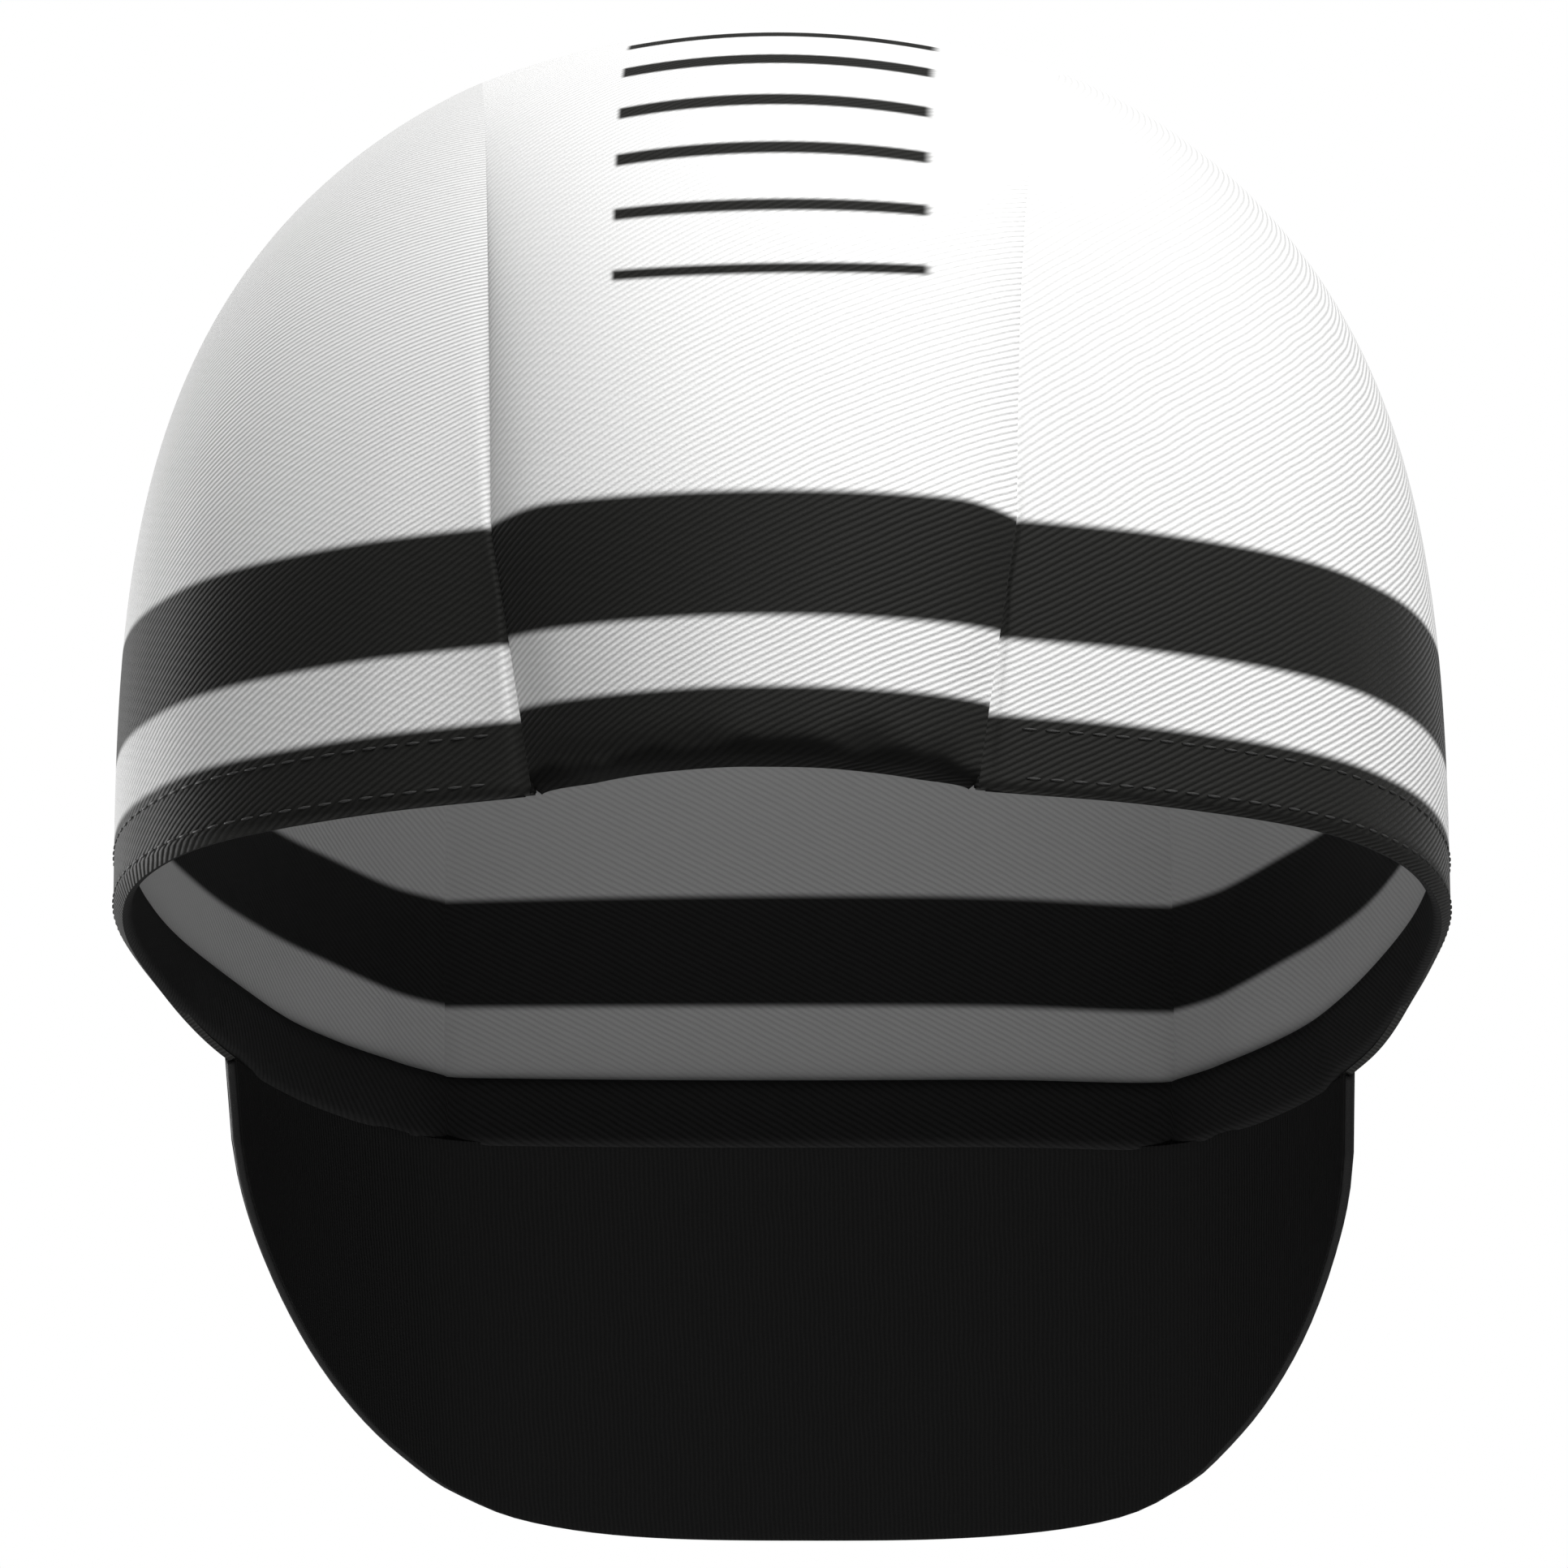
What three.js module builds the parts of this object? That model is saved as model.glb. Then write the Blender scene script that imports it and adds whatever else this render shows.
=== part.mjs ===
// A three-panel cotton cycling cap, worn size 56 to 58 cm: two side panels, a centre strip that
// runs from the brow over the top to an elasticated nape, a turned-up hem and a short arched peak.
// Millimetres, +Z up. The origin is the centre of the head opening, in the plane of the rim.
// The peak points along -Y, and the right-hand side of someone who looks at the peak is +X.
import * as THREE from 'three';

// Driving dimensions
const cloth = 1.2; // thickness of a sewn panel
const gap = 0.3; // between neighbouring pieces
const seamGap = 0.5; // between the cut edges of two panels
const crown = {
  height: 111, // rim to the top of the centre strip
  brow: -98.5, // y of the centre strip's middle at the front
  nape: 97.5, // y of its middle at the back
  shoulder: 3.2, // how upright the walls stand before they turn in over the top
  lengthRoundness: 2.3,
  widthRoundness: 2,
};
const seam = {
  height: 107, // rim to the highest point of either long seam
  brow: -96.5,
  nape: 86,
  halfWidthBrow: 48.1, // half the centre strip's width at the front
  halfWidthNape: 30,
};
const gather = { pull: 4.6, height: 32, startY: 55 }; // the nape elastic draws the seams together
const hem = { low: 0.5, high: 8.4, thickness: 1, elasticThickness: 1.8 };
const peak = { length: 69.3, cornerLength: 11.4, slopeDegrees: 38, halfWidth: 72.2, endY: -49 };
const peakOutline = { middle: 3.6, corners: 2.03 }; // superellipse powers: flatter middle, rounder corners

// Half the width of the rim at stations from the front seam to the back seam
const rimTable = [
  { name: 'front seam', y: seam.brow, halfWidth: seam.halfWidthBrow },
  { name: 'brow corner', y: -87.5, halfWidth: 56.8 },
  { name: 'temple', y: -69, halfWidth: 66.8 },
  { name: 'end of the peak', y: -51, halfWidth: 72.2 },
  { name: 'before the ear', y: -33, halfWidth: 75.5 },
  { name: 'ear', y: -8, halfWidth: 78.2 },
  { name: 'widest', y: 18, halfWidth: 79.6 },
  { name: 'behind the ear', y: 38, halfWidth: 77.6 },
  { name: 'back corner', y: 53, halfWidth: 72.6 },
  { name: 'back', y: 67, halfWidth: 63.2 },
  { name: 'beside the strip', y: 79, halfWidth: 46.7 },
  { name: 'back seam', y: seam.nape, halfWidth: seam.halfWidthNape },
];

// Mesh divisions
const stations = 44; // along the strip, from brow to nape
const lowStations = 3; // of these, how many at each end run up the wall beside a side panel
const panelRows = 11; // up a side panel
const stripColumns = 10;
const peakColumns = 28;
const peakRows = 7;

const clamp = THREE.MathUtils.clamp;
const vector = (x, y, z) => new THREE.Vector3(x, y, z);

// A smooth curve through the table's rows, read at y
function rimHalfWidth(y) {
  const last = rimTable.length - 1;
  const slopeAt = (i) => {
    const before = rimTable[Math.max(i - 1, 0)];
    const after = rimTable[Math.min(i + 1, last)];
    return (after.halfWidth - before.halfWidth) / (after.y - before.y);
  };
  const next = clamp(rimTable.findIndex((row) => row.y >= y), 1, last);
  const a = rimTable[next - 1];
  const b = rimTable[next];
  const span = b.y - a.y;
  const t = clamp((y - a.y) / span, 0, 1);
  const ease = t * t * (3 - 2 * t);
  const leave = slopeAt(next - 1) * span * t * (1 - t) ** 2;
  const arrive = slopeAt(next) * span * t * t * (1 - t);
  return a.halfWidth + (b.halfWidth - a.halfWidth) * ease + leave - arrive;
}

// How far out the crown reaches, from 1 at the rim to 0 at the top
function reach(heightShare, roundness) {
  return Math.max(1 - heightShare ** crown.shoulder, 0) ** (1 / roundness);
}

// A lengthwise outline in the y-z plane; angle runs from 0 at the brow to pi at the nape
function lengthwise(angle, brow, nape, height) {
  const share = Math.sin(angle);
  const out = reach(share, crown.lengthRoundness) * (angle < Math.PI / 2 ? -1 : 1);
  return { y: (brow + nape) / 2 + ((nape - brow) / 2) * out, z: height * share };
}

// The elastic's pull on the cloth beside the back seam, in millimetres towards the middle
function gathered(y, z) {
  const near = clamp((y - gather.startY) / (seam.nape - gather.startY), 0, 1) ** 2;
  return gather.pull * near * clamp(1 - z / gather.height, 0, 1);
}

function seamPoint(angle) {
  const { y, z } = lengthwise(angle, seam.brow, seam.nape, seam.height);
  const share = (y - seam.brow) / (seam.nape - seam.brow);
  const x = THREE.MathUtils.lerp(seam.halfWidthBrow, seam.halfWidthNape, share);
  return vector(x - gathered(y, z), y, z);
}

// The centre strip: angle as above, turn from -pi/2 at the left seam to pi/2 at the right seam
function stripPoint(angle, turn) {
  const edge = seamPoint(angle);
  const middle = lengthwise(angle, crown.brow, crown.nape, crown.height);
  // The strip is a soft arch over the top and rolls into the seams above the nape
  const behind = clamp((angle / Math.PI - 0.5) / 0.3, 0, 1);
  const aboveHem = clamp(edge.z / gather.height, 0, 1);
  const arch = 2 - behind * aboveHem;
  const rise = Math.cos(turn) ** arch;
  return vector(
    edge.x * Math.sin(turn),
    THREE.MathUtils.lerp(edge.y, middle.y, rise),
    THREE.MathUtils.lerp(edge.z, middle.z, rise),
  );
}

// The right side panel: angle picks the cross-section, share runs from 0 at the rim to 1 at the seam
function sidePoint(angle, share) {
  const top = seamPoint(angle);
  const low = Math.PI * (lowStations / stations);
  if (angle <= low || angle >= Math.PI - low) {
    const atFront = angle < Math.PI / 2;
    const climb = Math.asin((share * top.z) / seam.height);
    return seamPoint(atFront ? climb : Math.PI - climb);
  }
  const width = rimHalfWidth(top.y);
  const seamX = top.x + gathered(top.y, top.z);
  const turned = Math.asin((1 - Math.min(seamX / width, 1) ** 2) ** (1 / crown.shoulder));
  const climb = turned > 1e-3 ? Math.sin(share * turned) / Math.sin(turned) : share;
  const x = width * reach(Math.sin(share * turned), crown.widthRoundness);
  return vector(x - gathered(top.y, top.z * climb), top.y, top.z * climb);
}

// Outward unit normals of a grid of points, from the points on either side
function gridNormals(grid, outside) {
  return grid.map((row, i) => row.map((point, j) => {
    const before = grid[Math.max(i - 1, 0)][j];
    const after = grid[Math.min(i + 1, grid.length - 1)][j];
    const left = row[Math.max(j - 1, 0)];
    const right = row[Math.min(j + 1, row.length - 1)];
    const along = after.clone().sub(before);
    return along.cross(right.clone().sub(left)).multiplyScalar(outside).normalize();
  }));
}

// The direction that both walls share where two panels meet, so that neither enters the other
function mitre(a, b) {
  return a.clone().add(b).divideScalar(1 + a.dot(b));
}

// Points moved inwards by a depth along their normals
function inset(grid, normals, depth) {
  return grid.map((row, i) => row.map((p, j) => p.clone().addScaledVector(normals[i][j], -depth)));
}

// Pulls an edge point of a wall half the seam's gap back, towards the neighbour it is given
function leaveSeam(faces, i, j, neighbourI, neighbourJ) {
  const [outer] = faces;
  const away = outer[neighbourI][neighbourJ].clone().sub(outer[i][j]).setLength(seamGap / 2);
  faces.forEach((face) => face[i][j].add(away));
}

// One closed solid between two grids of points with the same rows and columns
function solidBetween(outer, inner) {
  const rows = outer.length;
  const columns = outer[0].length;
  const positions = [...outer.flat(), ...inner.flat()].flatMap((p) => [p.x, p.y, p.z]);
  const corner = (i) => vector(...positions.slice(3 * i, 3 * i + 3));
  const at = (side, row, column) => (side * rows + row) * columns + column;
  const faces = [];
  // Each quad is cut along its shorter diagonal
  const quad = (a, b, c, d) => {
    const cutFromA = corner(a).distanceTo(corner(c)) < corner(b).distanceTo(corner(d)) + 1e-6;
    faces.push(...(cutFromA ? [[a, b, c], [a, c, d]] : [[a, b, d], [b, c, d]]));
  };
  for (let r = 0; r < rows - 1; r++) {
    for (let c = 0; c < columns - 1; c++) {
      quad(at(0, r, c), at(0, r, c + 1), at(0, r + 1, c + 1), at(0, r + 1, c));
      quad(at(1, r, c), at(1, r + 1, c), at(1, r + 1, c + 1), at(1, r, c + 1));
    }
    quad(at(0, r, 0), at(0, r + 1, 0), at(1, r + 1, 0), at(1, r, 0));
    quad(at(1, r, columns - 1), at(1, r + 1, columns - 1), at(0, r + 1, columns - 1), at(0, r, columns - 1));
  }
  for (let c = 0; c < columns - 1; c++) {
    quad(at(1, 0, c), at(1, 0, c + 1), at(0, 0, c + 1), at(0, 0, c));
    quad(at(0, rows - 1, c), at(0, rows - 1, c + 1), at(1, rows - 1, c + 1), at(1, rows - 1, c));
  }
  const volume = faces.reduce((sum, [a, b, c]) => sum + corner(a).dot(corner(b).cross(corner(c))), 0);
  const facingOut = volume > 0 ? faces : faces.map(([a, b, c]) => [a, c, b]);
  const geometry = new THREE.BufferGeometry();
  geometry.setAttribute('position', new THREE.Float32BufferAttribute(positions, 3));
  geometry.setIndex(facingOut.flat());
  geometry.computeVertexNormals();
  return geometry;
}

const mirrored = (grid) => grid.map((row) => row.map((p) => vector(-p.x, p.y, p.z)));
const stationAngle = (i) => (Math.PI * i) / stations;

// Outer surfaces of the strip and of the right side panel, on stations that meet at the seam
const stripOuter = Array.from({ length: stations + 1 }, (_, i) =>
  Array.from({ length: stripColumns + 1 }, (_, j) =>
    stripPoint(stationAngle(i), Math.PI * (j / stripColumns - 0.5))));
const sideStations = stations - 2 * lowStations;
const sideOuter = Array.from({ length: sideStations + 1 }, (_, i) =>
  Array.from({ length: panelRows + 1 }, (_, j) =>
    sidePoint(stationAngle(i + lowStations), j / panelRows)));
const stripNormals = gridNormals(stripOuter, -1);
const sideNormals = gridNormals(sideOuter, 1);

// At the seam both panels take the mitred direction
function joinNormals() {
  const rightEdge = stripNormals.map((row) => row[stripColumns].clone());
  const mitred = rightEdge.map((normal, i) => {
    const station = clamp(i - lowStations, 0, sideStations);
    return mitre(normal, sideNormals[station][panelRows]);
  });
  mitred.forEach((direction, i) => {
    stripNormals[i][stripColumns] = direction;
    stripNormals[i][0] = vector(-direction.x, direction.y, direction.z);
  });
  sideNormals.forEach((row, i) => {
    row[panelRows] = mitred[i + lowStations];
  });
  for (let j = 0; j < panelRows; j++) {
    const lowest = Math.round((j / panelRows) * lowStations);
    sideNormals[0][j] = mitred[lowest];
    sideNormals[sideStations][j] = mitred[stations - lowest];
  }
}

function stripFaces() {
  const faces = [stripOuter.map((row) => row.map((p) => p.clone())), inset(stripOuter, stripNormals, cloth)];
  for (let i = 0; i <= stations; i++) {
    leaveSeam(faces, i, 0, i, 1);
    leaveSeam(faces, i, stripColumns, i, stripColumns - 1);
  }
  return faces;
}

function sideFaces() {
  const faces = [sideOuter.map((row) => row.map((p) => p.clone())), inset(sideOuter, sideNormals, cloth)];
  for (let j = 0; j < panelRows; j++) {
    leaveSeam(faces, 0, j, 1, j);
    leaveSeam(faces, sideStations, j, sideStations - 1, j);
  }
  for (let i = 0; i <= sideStations; i++) {
    leaveSeam(faces, i, panelRows, clamp(i, 1, sideStations - 1), panelRows - 1);
  }
  return faces;
}

// The rim in plan, from the left back seam round the brow to the right back seam, on the cloth's
// outer or inner face
function rimOutline(side, strip) {
  const right = side.map((row) => row[0]);
  const left = right.map((p) => vector(-p.x, p.y, 0)).reverse();
  const brow = strip[0].slice(1, -1);
  return [...left, ...brow, ...right].map((p) => vector(p.x, p.y, 0));
}

// The same outline moved inwards by a depth, mitred at each point
function insideOutline(outline, depth) {
  const outwards = outline.map((p, i) => {
    const edges = [[i - 1, i], [i, i + 1]].filter(([a, b]) => a >= 0 && b < outline.length);
    const normals = edges.map(([a, b]) => {
      const along = outline[b].clone().sub(outline[a]).normalize();
      return vector(along.y, -along.x, 0).multiplyScalar(-1);
    });
    return mitre(normals[0], normals[normals.length - 1]);
  });
  const middle = outline[Math.floor(outline.length / 2)];
  const sign = Math.sign(outwards[Math.floor(outline.length / 2)].dot(middle));
  return outline.map((p, i) => p.clone().addScaledVector(outwards[i], -sign * depth));
}

// The turned-up hem inside the side panels and the brow
function buildHem() {
  const trimmed = (depth) => insideOutline(rimInside, depth).slice(1, -1);
  const lifted = (path, z) => path.map((p) => vector(p.x, p.y, z));
  const face = (path) => [lifted(path, hem.low), lifted(path, hem.high)];
  return solidBetween(face(trimmed(gap)), face(trimmed(gap + hem.thickness)));
}

// The elastic in its casing, inside the nape end of the strip
function buildElastic() {
  const heights = [hem.low, (hem.low + hem.high) / 2, hem.high];
  const turns = Array.from({ length: stripColumns - 1 }, (_, j) => Math.PI * ((j + 1) / stripColumns - 0.5));
  const surface = heights.map((z) => turns.map((turn) =>
    stripPoint(Math.PI - Math.asin(z / crown.height), turn)));
  const normals = gridNormals(surface, 1);
  const inside = (depth) => inset(surface, normals, depth);
  return solidBetween(inside(cloth + gap), inside(cloth + gap + hem.elasticThickness));
}

// How far the peak runs out from the rim at a distance x from its middle
function peakReach(x) {
  const round = 1 - clamp(Math.abs(x) / peak.halfWidth, 0, 1) ** peakOutline.middle;
  return peak.cornerLength + (peak.length - peak.cornerLength) * round ** (1 / peakOutline.corners);
}

// The peak is bent one way only, so straight parallel lines run down it from the rim
function buildPeak() {
  const slope = THREE.MathUtils.degToRad(peak.slopeDegrees);
  const down = vector(0, -Math.cos(slope), -Math.sin(slope));
  const front = (path) => path.filter((p, i) => rimOutside[i].y <= peak.endY);
  const root = [front(rimOutside), front(insideOutline(rimInside, gap + hem.thickness))];
  const faces = root.map((path) => {
    const curve = new THREE.CatmullRomCurve3(path);
    return Array.from({ length: peakColumns + 1 }, (_, j) => {
      const start = curve.getPointAt(j / peakColumns).setZ(-gap);
      const long = peakReach(start.x);
      return Array.from({ length: peakRows + 1 }, (_, i) =>
        start.clone().addScaledVector(down, (long * i) / peakRows));
    });
  });
  return solidBetween(...faces);
}

function piece(name, geometry, colour) {
  const material = new THREE.MeshStandardMaterial({ color: colour, roughness: 0.9, metalness: 0 });
  const mesh = new THREE.Mesh(geometry, material);
  mesh.name = name;
  return mesh;
}

joinNormals();
const white = 0xf2f2f2;
const black = 0x1c1c1b;
const [sideOut, sideIn] = sideFaces();
const [stripOut, stripIn] = stripFaces();
const rimOutside = rimOutline(sideOut, stripOut);
const rimInside = rimOutline(sideIn, stripIn);

const cap = new THREE.Group();
cap.add(piece('crown_centre_strip', solidBetween(stripOut, stripIn), white));
cap.add(piece('crown_side_right', solidBetween(sideOut, sideIn), white));
cap.add(piece('crown_side_left', solidBetween(mirrored(sideOut), mirrored(sideIn)), white));
cap.add(piece('rim_hem', buildHem(), black));
cap.add(piece('nape_elastic', buildElastic(), black));
cap.add(piece('peak', buildPeak(), black));

export default cap;
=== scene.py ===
import bisect
import math

import bmesh
import bpy
from mathutils import Matrix, Quaternion, Vector, noise


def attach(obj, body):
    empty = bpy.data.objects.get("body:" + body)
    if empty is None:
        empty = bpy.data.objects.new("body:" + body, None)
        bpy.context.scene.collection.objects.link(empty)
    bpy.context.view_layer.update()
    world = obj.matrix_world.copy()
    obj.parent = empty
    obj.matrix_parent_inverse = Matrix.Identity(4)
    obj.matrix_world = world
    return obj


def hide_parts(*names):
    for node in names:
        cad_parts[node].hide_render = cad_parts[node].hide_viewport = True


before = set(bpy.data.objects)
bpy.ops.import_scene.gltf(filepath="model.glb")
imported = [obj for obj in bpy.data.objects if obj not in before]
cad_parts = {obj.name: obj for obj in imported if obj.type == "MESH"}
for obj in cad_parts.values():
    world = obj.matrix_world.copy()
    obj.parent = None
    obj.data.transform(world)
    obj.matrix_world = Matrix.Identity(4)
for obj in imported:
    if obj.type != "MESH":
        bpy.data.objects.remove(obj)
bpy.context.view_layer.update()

mm = 0.001  # shapes are worked out in millimetres and placed in metres

# the camera, as in the photo: behind the cap and a little below its rim
photoView = {
    "azimuth": 181.58, "elevation": -13.4, "roll": -0.31,  # degrees
    "distance": 1.2, "aim": (0.00034, 0.00517, 0.02163),  # metres
    "lens": 227.35, "sensorWidth": 36, "nearest": 0.01, "farthest": 100,
}


def placeCamera():
    azimuth = math.radians(photoView["azimuth"])
    elevation = math.radians(photoView["elevation"])
    level = math.cos(elevation)
    back = Vector((math.sin(azimuth) * level, -math.cos(azimuth) * level, math.sin(elevation)))
    camera = bpy.data.objects.new("photoCamera", bpy.data.cameras.new("photoCamera"))
    bpy.context.scene.collection.objects.link(camera)
    camera.data.lens = photoView["lens"]
    camera.data.sensor_width = photoView["sensorWidth"]
    camera.data.clip_start = photoView["nearest"]
    camera.data.clip_end = photoView["farthest"]
    camera.location = back * photoView["distance"]
    look = Vector(photoView["aim"]) - camera.location
    camera.rotation_mode = "QUATERNION"
    roll = Quaternion((0, 0, 1), math.radians(photoView["roll"]))
    camera.rotation_quaternion = look.to_track_quat("-Z", "Y") @ roll
    bpy.context.scene.camera = camera


placeCamera()
print("camera placed")

# the form of the cap, in millimetres
form = {
    "crownHeight": 111, "browY": -98.5, "napeY": 97.5,  # the middle line of the strip
    "seamHeight": 107, "seamBrowY": -96.5, "seamNapeY": 86,  # the long seams
    "seamHalfWidthBrow": 48.1, "seamHalfWidthNape": 30,
    "shoulder": 3.2, "lengthRoundness": 2.3, "widthRoundness": 2,  # powers of the rounded outlines
    "gatherPull": 4.6, "gatherHeight": 32, "gatherStartY": 55,  # the elastic draws the nape narrower
    # at the back the strip stands full beside its seams, less so near the nape and up to fullTop
    "fullness": 0.42, "fullTop": 98, "fullFade": 42, "fullStart": 0.5, "fullEase": 0.3,
    "lowestSideAngle": 0.2142,  # below this the long seams run straight up beside the side panels
    "sway": 1.4, "swayLength": 90,  # the nape sits towards +X
    "skew": 0.045, "frontLength": 50,  # the brow is turned, and lies further back on the +X side
    "lean": 2.4, "leanHeight": 14, "leanEase": 12,  # the front of each side panel leans in above its hem
    "sag": 0.8, "sagX": -46, "sagWidth": 15,  # the brow hangs lower at its corner on the -X side
}
# how deep the cloth dips at a seam, on top and at the nape, and the point it dips towards
seamDip = {"topDepth": 0.06, "napeDepth": 0.7, "height": 75, "centre": (0, 0, 25)}
rimTable = (  # y from brow to nape, half the width of the rim there
    (-96.5, 48.1), (-87.5, 56.8), (-69, 66.8), (-51, 72.2), (-33, 75.5), (-8, 78.2),
    (18, 79.6), (38, 77.6), (53, 72.6), (67, 63.2), (79, 46.7), (86, 30),
)


def clamp(value, low=0.0, high=1.0):
    return max(low, min(high, value))


def smooth(value):
    value = clamp(value)
    return value * value * (3 - 2 * value)


def mix(a, b, share):
    return a + (b - a) * share


def rimHalfWidth(y):
    # a smooth curve through the rows of the table
    last = len(rimTable) - 1
    nextRow = min(max(bisect.bisect_left([row[0] for row in rimTable], y), 1), last)

    def slopeAt(row):
        before, after = rimTable[max(row - 1, 0)], rimTable[min(row + 1, last)]
        return (after[1] - before[1]) / (after[0] - before[0])

    (ya, wa), (yb, wb) = rimTable[nextRow - 1], rimTable[nextRow]
    span = yb - ya
    t = clamp((y - ya) / span)
    leave = slopeAt(nextRow - 1) * span * t * (1 - t) ** 2
    arrive = slopeAt(nextRow) * span * t * t * (1 - t)
    return wa + (wb - wa) * smooth(t) + leave - arrive


def reach(heightShare, roundness):
    # how far out a rounded outline lies at a share of its height, from 1 at the rim to 0 at the top
    return max(1 - max(heightShare, 0) ** form["shoulder"], 0) ** (1 / roundness)


def lengthwise(angle, brow, nape, height):
    # y and z of a line from brow to nape, at an angle from 0 at the brow to pi at the nape
    share = math.sin(angle)
    out = reach(share, form["lengthRoundness"]) * (-1 if angle < math.pi / 2 else 1)
    return (brow + nape) / 2 + (nape - brow) / 2 * out, height * share


def gathered(y, z):
    # how far the elastic pulls the cloth in at the nape
    near = clamp((y - form["gatherStartY"]) / (form["seamNapeY"] - form["gatherStartY"])) ** 2
    return form["gatherPull"] * near * clamp(1 - z / form["gatherHeight"])


def seamPoint(angle):
    y, z = lengthwise(angle, form["seamBrowY"], form["seamNapeY"], form["seamHeight"])
    share = (y - form["seamBrowY"]) / (form["seamNapeY"] - form["seamBrowY"])
    x = mix(form["seamHalfWidthBrow"], form["seamHalfWidthNape"], share)
    return Vector((x - gathered(y, z), y, z))


def stripPoint(angle, turn):
    # turn runs across the strip, from a quarter turn at one seam to a quarter turn at the other
    edge = seamPoint(angle)
    y, z = lengthwise(angle, form["browY"], form["napeY"], form["crownHeight"])
    behind = clamp((angle / math.pi - form["fullStart"]) / form["fullEase"])
    full = clamp(edge.z / form["gatherHeight"]) * smooth((form["fullTop"] - edge.z) / form["fullFade"])
    arch = 2 - behind * full * form["fullness"]
    rise = max(math.cos(turn), 0) ** arch
    return Vector((edge.x * math.sin(turn), mix(edge.y, y, rise), mix(edge.z, z, rise)))


def sidePoint(angle, share):
    # share runs up the side panel, from 0 at the rim to 1 at the seam
    top = seamPoint(angle)
    low = form["lowestSideAngle"]
    if angle <= low or angle >= math.pi - low:
        climb = math.asin(share * top.z / form["seamHeight"])
        return seamPoint(climb if angle < math.pi / 2 else math.pi - climb)
    width = rimHalfWidth(top.y)
    seamX = top.x + gathered(top.y, top.z)
    turned = math.asin((1 - min(seamX / width, 1) ** 2) ** (1 / form["shoulder"]))
    climb = math.sin(share * turned) / math.sin(turned) if turned > 1e-3 else share
    x = width * reach(math.sin(share * turned), form["widthRoundness"])
    x -= lean(top.y, top.z * climb) * (1 - climb)
    return Vector((x - gathered(top.y, top.z * climb), top.y, top.z * climb))


def lean(y, z):
    front = smooth(-y / form["frontLength"]) * smooth((y - form["seamBrowY"]) / form["leanEase"])
    rise = max(z, 0) / form["leanHeight"]
    return form["lean"] * front * rise * math.exp(1 - rise)


def swayed(point):
    # the cap as it sits in the photo, a little off its own symmetry
    back = smooth(point.y / form["swayLength"])
    front = smooth(-point.y / form["frontLength"])
    sag = form["sag"] * front * math.exp(-((point.x - form["sagX"]) / form["sagWidth"]) ** 2)
    return point + Vector((form["sway"] * back, form["skew"] * point.x * front, -sag))


def sunken(point, fromSeam, width):
    # beside a stitched seam both panels sink the same way, deepest near the nape
    behind = smooth(1 - point.z / seamDip["height"]) if point.y > 0 else 0
    depth = mix(seamDip["topDepth"], seamDip["napeDepth"], behind)
    inward = (Vector(seamDip["centre"]) - point).normalized()
    return point + inward * depth * math.exp(-(fromSeam / width) ** 2)


def distancesAlong(points):
    total, lengths = 0.0, [0.0]
    for a, b in zip(points, points[1:]):
        total += (b - a).length
        lengths.append(total)
    return lengths


class Lookup:
    # reads the value that goes with a key, between the keys of a rising list
    def __init__(self, keys, values):
        self.keys, self.values = keys, values

    def __call__(self, key):
        i = min(max(bisect.bisect_left(self.keys, key), 1), len(self.keys) - 1)
        a, b = self.keys[i - 1], self.keys[i]
        return mix(self.values[i - 1], self.values[i], clamp((key - a) / (b - a) if b > a else 0))


def evenly(low, high, count):
    return [mix(low, high, i / count) for i in range(count + 1)]


fineAngles = evenly(0, math.pi, 1200)
middleArc = distancesAlong([stripPoint(a, 0) for a in fineAngles])
angleOfArc = Lookup(middleArc, fineAngles)
stripLength = middleArc[-1]


def gridNormals(grid):
    # at each point the way from column to column, crossed with the way along the column
    normals = []
    for i, column in enumerate(grid):
        before, after = grid[max(i - 1, 0)], grid[min(i + 1, len(grid) - 1)]
        row = []
        for j in range(len(column)):
            up = column[min(j + 1, len(column) - 1)] - column[max(j - 1, 0)]
            row.append((after[j] - before[j]).cross(up).normalized())
        normals.append(row)
    return normals


foldReach = 0.56  # a fold's radius times this is the cloth past the rim, just under a quarter turn


def foldUnder(distance, radius):
    # a cloth edge that turns under: how high it lies and how deep it has gone at a distance along it
    if distance >= radius:
        return distance, 0.0
    turned = (radius - distance) / radius
    return radius - radius * math.sin(turned), radius - radius * math.cos(turned)


# building pieces


def finishPiece(bm, name, materials, replaced=(), thickness=0.0):
    # a piece on the one body, with its materials, the nodes it stands for and the thickness of its cloth
    mesh = bpy.data.meshes.new(name)
    for face in bm.faces:
        face.smooth = True
    if thickness:
        for edge in bm.edges:
            edge.smooth = not edge.is_boundary  # a cut edge doesn't shade the cloth beside it
    bm.to_mesh(mesh)
    bm.free()
    piece = bpy.data.objects.new(name, mesh)
    bpy.context.scene.collection.objects.link(piece)
    for material in materials:
        mesh.materials.append(material)
    if thickness:
        wall = piece.modifiers.new("clothThickness", "SOLIDIFY")
        wall.thickness = thickness * mm
        wall.offset = -1
        wall.material_offset = len(materials) - 1
        wall.material_offset_rim = 0
    if replaced:
        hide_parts(*replaced)
    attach(piece, "root")
    return piece


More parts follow.
